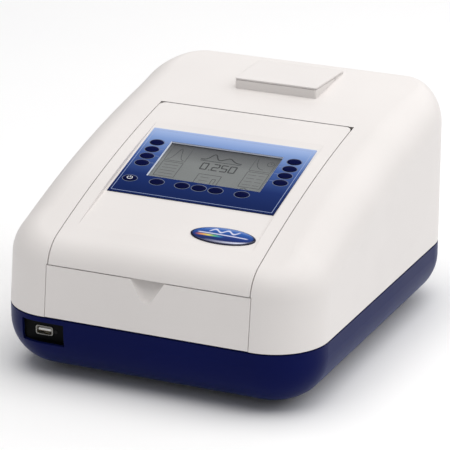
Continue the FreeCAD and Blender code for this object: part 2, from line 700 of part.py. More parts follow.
def filter_wheel():
    wheel = rod(WHEEL_R, (WHEEL_X, WHEEL_Y - 1.5, BEAM_Z), (WHEEL_X, WHEEL_Y + 1.5, BEAM_Z))
    shaft = rod(1.5, (WHEEL_X, WHEEL_Y - 4, BEAM_Z), (WHEEL_X, WHEEL_Y + 15, BEAM_Z))
    holes = [rod(FILTER_R, (x, WHEEL_Y - 5, z), (x, WHEEL_Y + 5, z)) for x, z in filter_sites()]
    return union(wheel, shaft).cut(holes)


def order_filters():
    ends = (WHEEL_Y - 1, WHEEL_Y + 1)
    return Part.makeCompound([rod(FILTER_R - 0.02, *[(x, y, z) for y in ends]) for x, z in filter_sites()])


# Roof bay

def printer_bay_tray(inner):
    half = BAY_HOLE_HALF + 2
    front, back = BAY_FRONT + BAY_RIM, BAY_BACK - BAY_RIM
    tray = box(-half, half, front - 2, back + 2, BAY_FLOOR, 186).common(inner)
    return tray.cut(box(-half + 2, half - 2, front, back, BAY_FLOOR + 2, FAR))


def printer_bay_cover():
    plate = polygon(bay_outline(0.0, BAY_TOP - BAY_PLATE)).extrude(Vector(0, 0, BAY_PLATE))
    plate = plate.makeFillet(BAY_CORNER, edges_along(plate, Z, lambda m: True))
    tabs = [box(*sorted((side * 32.4, side * 34.1)), 110, 132, 184, BAY_TOP - BAY_PLATE) for side in (-1, 1)]
    return union(plate, *tabs)


# Rear panel

def slots(x0, x1, y0, y1, z0, z1, count):
    """A row of equal slots with bars of the same height between them."""
    pitch = (z1 - z0) / (2 * count - 1)
    return [box(x0, x1, y0, y1, z0 + 2 * i * pitch, z0 + (2 * i + 1) * pitch) for i in range(count)]


def switch_block(grow, y0, y1):
    """The power switch's opening, or a block a little larger or smaller than it."""
    half, tall = SWITCH_HALF + grow, SWITCH_HALF_HEIGHT + grow
    return box(SWITCH_X - half, SWITCH_X + half, y0, y1, PORT_Z - tall, PORT_Z + tall)


def rear_plate():
    y0, y1 = REAR_INNER - REAR_PLATE, REAR_INNER
    plate = box(-REAR_HALF, REAR_HALF, y0, y1, REAR_LOW, REAR_HIGH)
    cuts = slots(FAN_X - 16, FAN_X + 16, 0, FAR, PORT_Z - 16, PORT_Z + 16, 6)
    cuts.append(switch_block(0, 0, FAR))
    cuts.append(rod(JACK_R, (JACK_X, 0, PORT_Z), (JACK_X, FAR, PORT_Z)))
    low, high = PORT_Z - SOCKET_HALF_HEIGHT, PORT_Z + SOCKET_HALF_HEIGHT
    for x, half in ((SERIAL_X, SERIAL_HALF), (DATA_X, DATA_HALF)):
        cuts.append(box(x - half, x + half, 0, FAR, low, high))
    return plate.cut(cuts)


def socket_case(half, x, y0, y1, skin, floor):
    """Open-fronted shell that fills its hole in the rear plate with a small gap."""
    half, tall = half - 0.2, SOCKET_HALF_HEIGHT - 0.2
    shell = box(x - half, x + half, y0, y1, PORT_Z - tall, PORT_Z + tall)
    return shell.cut(box(x - half + skin, x + half - skin, y0 + floor, y1 + 1,
                         PORT_Z - tall + skin, PORT_Z + tall - skin))


def data_sockets():
    y0, y1 = REAR_INNER - 10, REAR_INNER + 1.5
    serial = socket_case(SERIAL_HALF, SERIAL_X, y0, y1, 0.8, 4)
    pins = []
    for row, count in ((1.4, 5), (-1.4, 4)):
        for i in range(count):
            x = SERIAL_X + (i - (count - 1) / 2) * 2.77
            pins.append(rod(0.5, (x, y0 + 3, PORT_Z + row), (x, y1 - 1, PORT_Z + row)))
    device = socket_case(DATA_HALF, DATA_X, y0, y1, 0.8, 2)
    tongue = box(DATA_X - 2.6, DATA_X + 2.6, y0 + 1, y1 - 1.5, PORT_Z - 1.4, PORT_Z + 1.4)
    return Part.makeCompound([union(serial, *pins), union(device, tongue)])


def dc_jack():
    barrel = rod(JACK_R - 0.1, (JACK_X, REAR_INNER - 12, PORT_Z), (JACK_X, REAR_INNER + 1.5, PORT_Z))
    barrel = barrel.cut(rod(3.1, (JACK_X, REAR_INNER - 8, PORT_Z), (JACK_X, FAR, PORT_Z)))
    return union(barrel, rod(1.0, (JACK_X, REAR_INNER - 9, PORT_Z), (JACK_X, REAR_INNER, PORT_Z)))


def switch_housing():
    y0 = REAR_INNER - 14
    body = switch_block(-0.1, y0, REAR_INNER + 1)
    rim = switch_block(1.5, REAR_INNER, REAR_INNER + 1.5)
    pocket = box(SWITCH_X - 6, SWITCH_X + 6, y0 + 2, FAR, PORT_Z - 10.2, PORT_Z + 10.2)
    axle = rod(1.0, (SWITCH_X - 7, SWITCH_PIVOT, PORT_Z), (SWITCH_X + 7, SWITCH_PIVOT, PORT_Z))
    return union(union(body, rim).cut(pocket), axle)


def power_rocker():
    """Two-winged paddle on the housing's axle, resting with its upper end pressed in."""
    outline = [(-4, -8.6), (6.2, -8.6), (4.6, 0), (6.2, 8.6), (-4, 8.6)]
    paddle = side_prism(outline, -5.6, 5.6).cut(rod(1.0 + RUN, (-9, 0, 0), (9, 0, 0)))
    place = Placement(Vector(SWITCH_X, SWITCH_PIVOT, PORT_Z), Rotation(X, SWITCH_TILT))
    return paddle.transformed(place.toMatrix())


def fan_frame():
    back, front = REAR_INNER - REAR_PLATE, REAR_INNER - REAR_PLATE - FAN_DEPTH
    frame = box(FAN_X - FAN_HALF, FAN_X + FAN_HALF, front, back, PORT_Z - FAN_HALF, PORT_Z + FAN_HALF)
    frame = frame.makeFillet(3.0, edges_along(frame, Y, lambda m: True))
    frame = frame.cut(rod(FAN_BORE, (FAN_X, 0, PORT_Z), (FAN_X, FAR, PORT_Z)))
    reach = FAN_BORE + 0.5
    spokes = [box(FAN_X - reach, FAN_X + reach, front, front + 1.5, PORT_Z - 1, PORT_Z + 1),
              box(FAN_X - 1, FAN_X + 1, front, front + 1.5, PORT_Z - reach, PORT_Z + reach)]
    hub = rod(6.0, (FAN_X, front, PORT_Z), (FAN_X, front + 2, PORT_Z))
    pin = rod(1.0, (FAN_X, front, PORT_Z), (FAN_X, back - 1.5, PORT_Z))
    return union(frame, hub, pin, *spokes)


def fan_rotor():
    front = REAR_INNER - REAR_PLATE - FAN_DEPTH + 2.3
    hub = rod(8.0, (FAN_X, front, PORT_Z), (FAN_X, front + 6.5, PORT_Z))
    tip = FAN_BORE - 0.7
    blade = box(6, tip, -0.6, 0.6, -4, 4).rotated(Vector(0, 0, 0), X, 38)
    blade = blade.common(rod(tip, (0, -3, 0), (0, 3, 0)))
    turns = [blade.rotated(Vector(0, 0, 0), Y, i * 360 / FAN_BLADES) for i in range(FAN_BLADES)]
    blades = [turn.translated(Vector(FAN_X, front + 3.4, PORT_Z)) for turn in turns]
    return union(hub, *blades).cut(rod(1.0 + RUN, (FAN_X, 0, PORT_Z), (FAN_X, FAR, PORT_Z)))


# Lid

def hinge_pins():
    pins = []
    for side in (-1, 1):
        def at(x):
            return side * x, HINGE_Y, HINGE_Z
        pins.append(rod(PIN_R, at(80), at(LID_HALF + SEAM + FLANGE + 2)))
    return Part.makeCompound(pins)


def key_sites():
    """Name, x and distance down the panel of each key."""
    sites = {}
    for side, x in (("left", -SIDE_KEY_X), ("right", SIDE_KEY_X)):
        for row, down in enumerate(SIDE_KEY_ROWS, 1):
            sites[f"key_{side}_{row}"] = (x, down)
    for column, x in enumerate(LOW_KEYS_X, 1):
        sites[f"key_lower_{column}"] = (x, LOW_KEY_ROW)
    sites["key_power"] = (POWER_KEY_X, LOW_KEY_ROW)
    return sites


def key_holes(low, high):
    return [on_panel(oval(KEY_LENGTH, KEY_WIDTH, low, high, x, down)) for x, down in key_sites().values()]


def lid_shell(outer, inner):
    side = LID_HALF - WALL
    cavity = box(-side, side, -FAR, LID_BACK - WALL, 0, FAR).common(inner)
    cavity = cavity.cut(facet_space(FACET_HALF + WALL, WALL))
    ears = [rod(EAR_R, (s * 78, HINGE_Y, HINGE_Z), (s * (side + 1), HINGE_Y, HINGE_Z)) for s in (-1, 1)]
    shell = outer.common(lid_region(0.0, LID_CORNER)).cut(facet_space(FACET_HALF, 0.0)).cut(cavity)
    shell = union(shell, *ears)
    bores = [rod(PIN_R + RUN, (s * 79.5, HINGE_Y, HINGE_Z), (s * 100, HINGE_Y, HINGE_Z)) for s in (-1, 1)]
    window = panel_box(LCD_HALF + LCD_CLEARANCE, LCD_TOP - LCD_CLEARANCE, LCD_BOTTOM + LCD_CLEARANCE, -20, 5)
    return shell.cut(bores + [window] + key_holes(-5, 5))


def lid_inner_panel(inner):
    slab = under_slab(-200, LID_BACK - WALL - 0.1, 0, 2.5, LID_HALF - WALL - 0.1)
    return slab.common(inner)


def lid_light_seal():
    ring = under_slab(WELL_FRONT - 3.5, WELL_BACK + 3.5, -DECK_DROP + 0.4, 0, WELL_HALF + 3.5)
    return ring.cut(under_slab(WELL_FRONT - 1, WELL_BACK + 1, -10, 10, WELL_HALF + 1))


def keypad_overlay():
    sheet = panel_box(PANEL_HALF, 0, PANEL_LENGTH, 0, OVERLAY)
    window = panel_box(LCD_HALF, LCD_TOP, LCD_BOTTOM, -1, 5)
    return sheet.cut([window] + key_holes(-1, 5))


def lcd_window():
    return panel_box(LCD_HALF - 0.05, LCD_TOP + 0.05, LCD_BOTTOM - 0.05, 0, OVERLAY - 0.1)


def lcd_module():
    grow = LCD_CLEARANCE - 0.2
    return panel_box(LCD_HALF + grow, LCD_TOP - grow, LCD_BOTTOM + grow, -WALL - 8, -LCD_DEPTH)


def keypad_board():
    top = -DOME_TOP - DOME_HEIGHT
    board = panel_box(PANEL_HALF - 1, 8, 84, top - BOARD, top)
    board = board.cut(panel_box(LCD_HALF + 3, LCD_TOP - 3.5, LCD_BOTTOM + 2, -20, 0))
    domes = [on_panel(oval(6, 6, top - DOME_HEIGHT, -DOME_TOP, x, down)) for x, down in key_sites().values()]
    return union(board, *domes)


def lid_badge():
    x, down = BADGE
    badge = oval(BADGE_LENGTH, BADGE_WIDTH, 0, 1.8, x, down)
    rim = [e for e in badge.Edges if abs(e.CenterOfMass.z - 1.8) < 0.01 and e.Closed]
    return on_panel(badge.makeFillet(1.2, rim))


def key(x, down):
    """Cap through the overlay, retaining flange under the lid's skin, and switch stem."""
    top = OVERLAY + KEY_RISE
    length, width = KEY_LENGTH - 2 * KEY_GAP, KEY_WIDTH - 2 * KEY_GAP
    flange_top = -WALL - KEY_REST_GAP
    cap = oval(length, width, flange_top, top)
    cap = cap.makeFillet(0.4, [e for e in cap.Edges if e.CenterOfMass.z > top - 0.01 and e.Closed])
    flange = oval(length + 1.6, width + 1.6, flange_top - KEY_FLANGE, flange_top)
    stem = oval(3, 3, KEY_TRAVEL - DOME_TOP, flange_top - KEY_FLANGE)
    return on_panel(union(cap, flange, stem).translated(Vector(x, -down, 0)))


def build():
    outer, inner, tub_inner = hull(0.0), hull(WALL), tub_form(WALL)
    parts = {
        "base_tub": base_tub(),
        "top_cover": top_cover(outer, inner),
        "front_panel": front_panel(outer, inner),
        "inner_deck": inner_deck(),
        "rubber_feet": rubber_feet(),
        "case_screws": case_screws(),
        "usb_bay_liner": usb_bay_liner(tub_inner),
        "usb_socket_shell": usb_socket_shell(),
        "usb_socket_tongue": usb_socket_tongue(),
        "usb_lamp": usb_lamp(),
        "sample_chamber": sample_chamber(),
        "cuvette_holder": cuvette_holder(),
        "chamber_lenses": chamber_lenses(),
        "optical_bench": optical_bench(),
        "lamp_housing": lamp_housing(),
        "lamp_bulb": lamp_bulb(),
        "slit_plates": slit_plates(),
        "fold_mirror": fold_mirror(),
        "detector_board": detector_board(),
        "photodiode": photodiode(),
        "main_board": main_board(),
        "power_module": power_module(),
        "stepper_motors": stepper_motors(),
        "grating_table": grating_table(),
        "diffraction_grating": diffraction_grating(),
        "grating_pinion": grating_pinion(),
        "filter_wheel": filter_wheel(),
        "order_filters": order_filters(),
        "printer_bay_tray": printer_bay_tray(inner),
        "printer_bay_cover": printer_bay_cover(),
        "rear_plate": rear_plate(),
        "data_sockets": data_sockets(),
        "dc_jack": dc_jack(),
        "switch_housing": switch_housing(),
        "power_rocker": power_rocker(),
        "fan_frame": fan_frame(),
        "fan_rotor": fan_rotor(),
        "hinge_pins": hinge_pins(),
        "lid_shell": lid_shell(outer, inner),
        "lid_inner_panel": lid_inner_panel(inner),
        "lid_light_seal": lid_light_seal(),
        "keypad_overlay": keypad_overlay(),
        "keypad_board": keypad_board(),
        "lcd_window": lcd_window(),
        "lcd_module": lcd_module(),
        "lid_badge": lid_badge(),
    }
    for name, (x, down) in key_sites().items():
        parts[name] = key(x, down)
    return parts


os.makedirs("parts", exist_ok=True)
for name, shape in build().items():
    shape.exportStep(f"parts/{name}.step")
    print(f"{name}: {len(shape.Solids)} solid(s), {shape.Volume / 1000:.2f} cm3")
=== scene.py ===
"""Looks of the bench-top spectrophotometer, built round its CAD frame, in metres.

+Z is up, -Y is the front and the origin is on the table under the middle of the case.
Every CAD node gets a procedural material. The key caps, window, badge, printed marks
and small fittings are meshes made here, and each rides on the body that carries it.
"""
import json
import math

import bmesh
import bpy
from mathutils import Matrix, Vector


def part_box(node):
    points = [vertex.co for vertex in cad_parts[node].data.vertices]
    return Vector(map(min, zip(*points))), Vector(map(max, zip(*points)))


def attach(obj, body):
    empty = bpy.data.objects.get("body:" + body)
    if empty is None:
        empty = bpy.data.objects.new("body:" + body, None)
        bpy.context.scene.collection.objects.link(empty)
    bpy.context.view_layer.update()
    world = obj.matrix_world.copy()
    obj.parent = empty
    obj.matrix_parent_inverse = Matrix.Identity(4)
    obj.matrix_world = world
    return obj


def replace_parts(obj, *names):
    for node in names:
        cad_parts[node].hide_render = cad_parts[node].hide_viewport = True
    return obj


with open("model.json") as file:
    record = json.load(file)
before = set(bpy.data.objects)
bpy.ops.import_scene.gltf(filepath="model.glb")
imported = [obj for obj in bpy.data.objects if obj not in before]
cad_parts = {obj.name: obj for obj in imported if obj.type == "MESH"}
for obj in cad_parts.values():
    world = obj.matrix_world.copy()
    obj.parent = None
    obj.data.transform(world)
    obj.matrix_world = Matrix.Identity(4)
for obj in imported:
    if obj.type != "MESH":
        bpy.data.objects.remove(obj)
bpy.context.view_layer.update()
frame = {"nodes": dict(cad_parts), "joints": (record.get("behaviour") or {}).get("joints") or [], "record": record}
NODES = frame["nodes"]
MM = 0.001

# Camera
VIEW_AZIMUTH = 24.055
VIEW_ELEVATION = 19.873
VIEW_ROLL = 0.177
VIEW_PLACE = (0.8841, -1.9928, 0.8796)
LENS = 222.4

# Colours, linear
WHITE = (0.80, 0.765, 0.745)
NAVY = (0.0022, 0.0052, 0.063)
GLANCE = (0.35, 0.50, 1.0)
DARK_GREY = (0.085, 0.085, 0.09)
KEY_NAVY = (0.0008, 0.0030, 0.042)
FILM_STOPS = (
    (0.0, (0.002, 0.012, 0.080)), (0.30, (0.007, 0.024, 0.130)), (0.62, (0.055, 0.112, 0.33)),
    (0.86, (0.21, 0.32, 0.60)), (1.0, (0.37, 0.48, 0.75)))
BADGE_STOPS = (
    (0.0, (0.004, 0.008, 0.07)), (0.40, (0.010, 0.035, 0.20)), (0.75, (0.022, 0.11, 0.42)),
    (1.0, (0.08, 0.17, 0.44)))
SPECTRUM_STOPS = (
    (0.0, (0.35, 0.05, 0.12)), (0.25, (0.75, 0.30, 0.10)), (0.45, (0.75, 0.65, 0.15)),
    (0.65, (0.10, 0.45, 0.20)), (0.85, (0.05, 0.30, 0.55)), (1.0, (0.03, 0.12, 0.45)))
BADGE_PRINT = (0.66, 0.68, 0.86)
BADGE_RIM = (0.002, 0.004, 0.035)
# Display greys: the darker one is painted shade at the screen's top edge and also its random clouding
DISPLAY_SHADE_AND_CLOUD = (0.108, 0.111, 0.122)
DISPLAY_LOW = (0.285, 0.302, 0.299)
INK = (0.034, 0.036, 0.040)
FAINT_INK = (0.095, 0.100, 0.104)

# Sizes of the pieces made here
OVERLAY = 0.8 * MM
PRINT = 0.04 * MM
KEY_LENGTH = 12.2 * MM
KEY_WIDTH = 8.0 * MM
KEY_RISE = 0.7 * MM
SCREEN_DEPTH = 1.2 * MM
SCREEN_PIXEL = 0.45 * MM
BADGE_RATIO = 21.0 / 55.6
BADGE_RISE = 1.75 * MM
BORDER_INSET = 2.2 * MM
BORDER_WIDTH = 0.45 * MM
OUTLINE_INNER = 0.5 * MM
OUTLINE_OUTER = 1.5 * MM
LEADER_RISE = 1.4 * MM
LEADER_START = 6.6 * MM
LEADER_END = 1.1 * MM
LEADER_WIDTH = 0.35 * MM
CONTACT_PITCH = 2.3 * MM
SCREW_INSET = 7.5 * MM
POST_REACH = 15.6 * MM


def corners(node):
    """Low and high corner of a node's box."""
    return [Vector(corner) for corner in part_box(node)]


# Control panel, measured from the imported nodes
KEY_NODES = sorted(name for name in NODES if name.startswith("key_"))
PRESS = next(j for j in frame["joints"] if j["child"] == KEY_NODES[0])
NORMAL = -Vector(PRESS["axis"]).normalized()
UPHILL = Vector((0.0, NORMAL.z, -NORMAL.y))
FILM_LOW, FILM_HIGH = corners("keypad_overlay")
LCD_LOW, LCD_HIGH = corners("lcd_window")
PANEL_TOP = Vector((0.0, FILM_HIGH.y, FILM_HIGH.z - OVERLAY * NORMAL.z))
PANEL = Matrix((
    (1.0, 0.0, 0.0, 0.0),
    (0.0, UPHILL.y, NORMAL.y, PANEL_TOP.y),
    (0.0, UPHILL.z, NORMAL.z, PANEL_TOP.z),
    (0.0, 0.0, 0.0, 1.0)))
PANEL_HALF = FILM_HIGH.x
LCD_HALF = LCD_HIGH.x


def panel_place(point):
    """Panel coordinates (across, up the slope, out) of a point in the frame."""
    return PANEL.inverted() @ Vector(point)


def node_on_panel(node):
    """Middle of a node's box in panel coordinates."""
    low, high = corners(node)
    return panel_place((low + high) / 2)


# Heights on the panel, whose upper edge is at 0
PANEL_FOOT = panel_place((0, FILM_LOW.y, FILM_LOW.z + OVERLAY)).y
LCD_TOP = panel_place((0, LCD_HIGH.y, LCD_HIGH.z)).y
LCD_FOOT = panel_place((0, LCD_LOW.y, LCD_LOW.z)).y


# Material graphs

class Graph:
    """A node material, built up by short calls."""

    def __init__(self, name):
        self.material = bpy.data.materials.new(name)
        self.material.use_nodes = True
        self.nodes = self.material.node_tree.nodes
        self.shader = self.nodes["Principled BSDF"]
        self.place = self.add("ShaderNodeTexCoord").outputs["Object"]

    def put(self, socket, value):
        """Give a socket a link, a colour or a plain value."""
        if isinstance(value, bpy.types.NodeSocket):
            self.material.node_tree.links.new(value, socket)
        elif isinstance(value, tuple) and socket.type == "RGBA":
            socket.default_value = (*value, 1.0)
        else:
            socket.default_value = value

    def add(self, kind, values=None, **properties):
        node = self.nodes.new(kind)
        for key, value in properties.items():
            setattr(node, key, value)
        for key, value in (values or {}).items():
            self.put(node.inputs[key], value)
        return node

    def set(self, **values):
        for key, value in values.items():
            self.put(self.shader.inputs[key.replace("_", " ")], value)

    def noise(self, scale, detail=3.0, place=None):
        values = {"Vector": place or self.place, "Scale": scale, "Detail": detail, "Roughness": 0.55}
        return self.add("ShaderNodeTexNoise", values).outputs["Fac"]

    def spread(self, value, low, high, start=0.35, end=0.65):
        """Map a factor from start..end to low..high."""
        values = {"Value": value, "From Min": start, "From Max": end, "To Min": low, "To Max": high}
        return self.add("ShaderNodeMapRange", values).outputs["Result"]

    def ramp(self, value, stops):
        node = self.add("ShaderNodeValToRGB", {"Fac": value})
        elements = node.color_ramp.elements
        while len(elements) < len(stops):
            elements.new(0.5)
        for element, (position, colour) in zip(elements, stops):
            element.position = position
            element.color = (*colour, 1.0)
        return node.outputs["Color"]

    def mix(self, factor, first, second):
        return self.add("ShaderNodeMix", {0: factor, 6: first, 7: second}, data_type="RGBA").outputs[2]

    def maths(self, operation, first, second=0.0):
        return self.add("ShaderNodeMath", {0: first, 1: second}, operation=operation).outputs["Value"]

    def across(self):
        """Distance to the right, in metres."""
        return self.add("ShaderNodeSeparateXYZ", {0: self.place}).outputs["X"]

    def up_slope(self):
        """Distance up the control panel's slope, in metres."""
        node = self.add("ShaderNodeVectorMath", {0: self.place, 1: UPHILL}, operation="DOT_PRODUCT")
        return node.outputs["Value"]

    def panel_share(self, low, high, start=0.0, end=1.0):
        """Map panel heights low..high to start..end."""
        origin = PANEL_TOP.dot(UPHILL)
        return self.spread(self.up_slope(), start, end, origin + low, origin + high)

    def stripe(self, value, centre, core, edge):
        """A soft line where value meets centre, solid out to core and gone by edge."""
        offset = self.maths("ABSOLUTE", self.maths("SUBTRACT", value, centre))
        return self.spread(offset, 1.0, 0.0, core, edge)

    def bump(self, height, distance, strength=1.0, bevel=0.0):
        values = {"Height": height, "Distance": distance, "Strength": strength}
        if bevel:
            values["Normal"] = self.add("ShaderNodeBevel", {"Radius": bevel}, samples=4).outputs["Normal"]
        self.set(Normal=self.add("ShaderNodeBump", values).outputs["Normal"])


def shades(colour, spread):
    """A colour a little darker and a little lighter than the given one."""
    return tuple(c * (1 - spread) for c in colour), tuple(min(c * (1 + spread), 1.0) for c in colour)


def moulded(name, colour, roughness, grain=1400.0, relief=0.02 * MM, bevel=0.5 * MM, spread=0.02, ior=1.45,
            sheen=0.0):
    """Moulded plastic: faint mottling, spark-eroded grain and softened edges."""
    g = Graph(name)
    dark, light = shades(colour, spread)
    g.set(Base_Color=g.ramp(g.noise(9.0, 2.0), ((0.35, dark), (0.65, light))), IOR=ior,
          Roughness=g.spread(g.noise(30.0), roughness - 0.012, roughness + 0.012))
    if sheen:
        g.set(Sheen_Weight=sheen, Sheen_Roughness=0.35, Sheen_Tint=GLANCE)
    g.bump(g.noise(grain, 2.0), relief, 0.35, bevel)
    return g.material


def metal(name, colour, roughness, grain=(1.0, 1.0, 1.0), scale=500.0, scuff=0.1):
    """Metal with a directional or even grain and slight tarnish."""
    g = Graph(name)
    stretched = g.add("ShaderNodeMapping", {"Vector": g.place, "Scale": grain}).outputs["Vector"]
    streaks = g.noise(scale, 3.0, stretched)
    dark, light = shades(colour, 0.08)
    g.set(Base_Color=g.ramp(g.noise(45.0), ((0.3, dark), (0.7, light))), Metallic=1.0,
          Roughness=g.spread(streaks, roughness - scuff, roughness + scuff))
    g.bump(streaks, 0.01 * MM, 0.4, 0.2 * MM)
    return g.material


def rubber(name, colour):
    """Matt rubber with a rough, slightly uneven surface."""
    g = Graph(name)
    dark, light = shades(colour, 0.25)
    g.set(Base_Color=g.ramp(g.noise(220.0), ((0.3, dark), (0.7, light))), Roughness=0.82)
    g.bump(g.noise(900.0, 4.0), 0.05 * MM, 0.6, 0.3 * MM)
    return g.material


def foam(name, colour):
    """Open-celled foam, its pore centres coloured darker than the cell walls as painted shade."""
    g = Graph(name)
    cells = g.add("ShaderNodeTexVoronoi", {"Vector": g.place, "Scale": 1100.0}).outputs["Distance"]
    dark, light = shades(colour, 0.5)
    # Painted shade: colour darkens towards the pore centres, which the bump also sets lower.
    g.set(Base_Color=g.ramp(cells, ((0.1, dark), (0.6, light))), Roughness=0.95)
    g.bump(cells, 0.15 * MM, 0.9)
    return g.material


def glass(name, colour, roughness=0.03):
    """Clear or tinted glass."""
    g = Graph(name)
    g.set(Base_Color=colour, Transmission_Weight=1.0, IOR=1.46,
          Roughness=g.spread(g.noise(80.0), roughness, roughness + 0.02))
    return g.material


def window_sheet(name):
    """Thin clear sheet that lets light straight through and adds a faint gloss."""
    g = Graph(name)
    g.set(Base_Color=(0.02, 0.02, 0.02), Alpha=0.08, Roughness=g.spread(g.noise(80.0), 0.06, 0.09))
    return g.material


def circuit_board(name):
    """Green solder mask with copper tracks showing through it."""
    g = Graph(name)
    tracks = g.add("ShaderNodeTexBrick", {
        "Vector": g.place, "Scale": 130.0, "Mortar Size": 0.03, "Color1": (0.010, 0.105, 0.035),
        "Color2": (0.014, 0.125, 0.042), "Mortar": (0.035, 0.22, 0.08)})
    g.set(Base_Color=tracks.outputs["Color"], Roughness=0.32, Coat_Weight=0.4)
    g.bump(tracks.outputs["Fac"], 0.03 * MM, -0.5, 0.15 * MM)
    return g.material


def printed_film(name):
    """Film with a printed blue gradient, light at the top, and a matt screen-printed grain."""
    g = Graph(name)
    g.set(Base_Color=g.ramp(g.panel_share(PANEL_FOOT, 0.0), FILM_STOPS), IOR=1.14,
          Roughness=g.spread(g.noise(300.0), 0.30, 0.38))
    g.bump(g.noise(1500.0, 2.0), 0.01 * MM, 0.3, 0.25 * MM)
    return g.material


def ink(name, colour, roughness=0.45):
    """Thin screen-printed ink."""
    g = Graph(name)
    dark, light = shades(colour, 0.06)
    g.set(Base_Color=g.ramp(g.noise(700.0), ((0.35, dark), (0.65, light))), Roughness=roughness)
    g.bump(g.noise(2500.0), 0.004 * MM, 0.3)
    return g.material


def display_glass(name):
    """Unlit liquid-crystal display: grey, with painted shade darkening it towards the top, faint clouds and faint
    pixel rows and columns.
    """
    g = Graph(name)
    turns = 2 * math.pi / SCREEN_PIXEL
    columns = g.maths("SINE", g.maths("MULTIPLY", g.across(), turns))
    rows = g.maths("SINE", g.maths("MULTIPLY", g.up_slope(), turns))
    grid = g.spread(g.maths("MAXIMUM", columns, rows), 0.0, 1.0, 0.75, 1.0)
    # Painted shade: the screen is coloured darker towards its top edge, where the recess shades it; the same dark
    # tone also clouds it at random.
    stops = ((0.0, DISPLAY_LOW), (0.55, DISPLAY_LOW), (1.0, DISPLAY_SHADE_AND_CLOUD))
    shade = g.ramp(g.panel_share(LCD_FOOT, LCD_TOP), stops)
    cloudy = g.mix(g.spread(g.noise(16.0), 0.0, 0.10), shade, DISPLAY_SHADE_AND_CLOUD)
    g.set(Base_Color=g.mix(g.maths("MULTIPLY", grid, 0.10), cloudy, FAINT_INK), Roughness=0.3, IOR=1.3)
    g.bump(grid, 0.004 * MM, 0.2)
    return g.material


def badge_resin(name):
    """Domed badge: blue print with a dark rim, a pale crescent, a wave, a line and a spectrum streak."""
    g = Graph(name)
    low, high = corners("lid_badge")
    middle = node_on_panel("lid_badge")
    half = (high.x - low.x) / 2
    tall = half * BADGE_RATIO
    u = g.spread(g.across(), -1.0, 1.0, middle.x - half, middle.x + half)
    v = g.panel_share(middle.y - tall, middle.y + tall, -1.0, 1.0)
    reach = g.maths("ABSOLUTE", u)
    u_squared = g.maths("MULTIPLY", u, u)
    bow = g.maths("ADD", g.maths("MULTIPLY", u_squared, 0.42), -0.80)
    crescent = g.maths("MULTIPLY", g.stripe(v, bow, 0.03, 0.13), g.spread(u, 0.0, 1.0, -0.5, 0.5))
    swing = g.maths("MULTIPLY", g.maths("SINE", g.maths("MULTIPLY", u, 16.0)), 0.16)
    wave = g.stripe(v, g.maths("ADD", swing, 0.42), 0.05, 0.12)
    crest = g.maths("MULTIPLY", wave, g.spread(reach, 1.0, 0.0, 0.42, 0.48))
    tilt = g.maths("MULTIPLY", u, -0.06)
    line = g.maths("MULTIPLY", g.stripe(v, tilt, 0.03, 0.08), g.spread(reach, 1.0, 0.0, 0.72, 0.80))
    streak = g.stripe(v, g.maths("ADD", tilt, -0.25), 0.06, 0.14)
    ends = g.maths("MULTIPLY", g.spread(u, 0.0, 1.0, -0.85, -0.7), g.spread(u, 1.0, 0.0, -0.2, 0.1))
    blue = g.ramp(g.spread(v, 0.0, 1.0, -1.0, 1.0), BADGE_STOPS)
    hues = g.ramp(g.spread(u, 0.0, 1.0, -0.85, 0.1), SPECTRUM_STOPS)
    pale = g.maths("MAXIMUM", crescent, g.maths("MAXIMUM", crest, line))
    printed = g.mix(pale, g.mix(g.maths("MULTIPLY", streak, ends), blue, hues), BADGE_PRINT)
    radius = g.maths("SQRT", g.maths("ADD", u_squared, g.maths("MULTIPLY", v, v)))
    g.set(Base_Color=g.mix(g.spread(radius, 0.0, 1.0, 0.90, 0.95), printed, BADGE_RIM), Roughness=0.12,
          Coat_Weight=0.25, IOR=1.3)
    g.bump(g.noise(30.0), 0.02 * MM, 0.1)
    return g.material


SLOTS = {
    "white_casing": moulded("white_casing", WHITE, 0.46, bevel=0.7 * MM),
    "blue_casing": moulded("blue_casing", NAVY, 0.34, bevel=0.6 * MM, spread=0.05, ior=1.13, sheen=0.13),
    "dark_grey_plastic": moulded("dark_grey_plastic", DARK_GREY, 0.55, grain=900.0, relief=0.05 * MM),
    "black_rubber": rubber("black_rubber", (0.02, 0.02, 0.02)),
    "zinc_screws": metal("zinc_screws", (0.58, 0.57, 0.52), 0.32),
    "black_plastic": moulded("black_plastic", (0.003, 0.0035, 0.004), 0.5, spread=0.2, ior=1.15),
    "nickel": metal("nickel", (0.72, 0.70, 0.66), 0.24, (1.0, 8.0, 1.0)),
    "socket_insert": moulded("socket_insert", (0.78, 0.78, 0.76), 0.4, bevel=0.1 * MM),
    "indicator_lens": moulded("indicator_lens", (0.012, 0.012, 0.013), 0.35, bevel=0.4 * MM, ior=1.2),
    "black_anodised": metal("black_anodised", (0.035, 0.035, 0.038), 0.45, (1.0, 1.0, 10.0)),
    "clear_glass": glass("clear_glass", (0.94, 0.97, 0.97)),
    "cast_aluminium": metal("cast_aluminium", (0.55, 0.55, 0.56), 0.48, scale=260.0),
    "blackened_steel": moulded("blackened_steel", (0.02, 0.02, 0.02), 0.7, spread=0.2),
    "mirror_glass": metal("mirror_glass", (0.88, 0.88, 0.9), 0.06, scuff=0.02),
    "green_board": circuit_board("green_board"),
    "pressed_steel": metal("pressed_steel", (0.62, 0.62, 0.61), 0.36, (12.0, 1.0, 1.0)),
    "brass_gear": metal("brass_gear", (0.72, 0.50, 0.20), 0.28),
    "filter_glass": glass("filter_glass", (0.85, 0.45, 0.15), 0.05),
    "black_foam": foam("black_foam", (0.02, 0.02, 0.02)),
    "blue_membrane": printed_film("blue_membrane"),
    "lcd_glass": display_glass("lcd_glass"),
    "badge_blue": badge_resin("badge_blue"),
    "key_navy": moulded("key_navy", KEY_NAVY, 0.28, bevel=0.2 * MM, spread=0.15, ior=1.09),
}
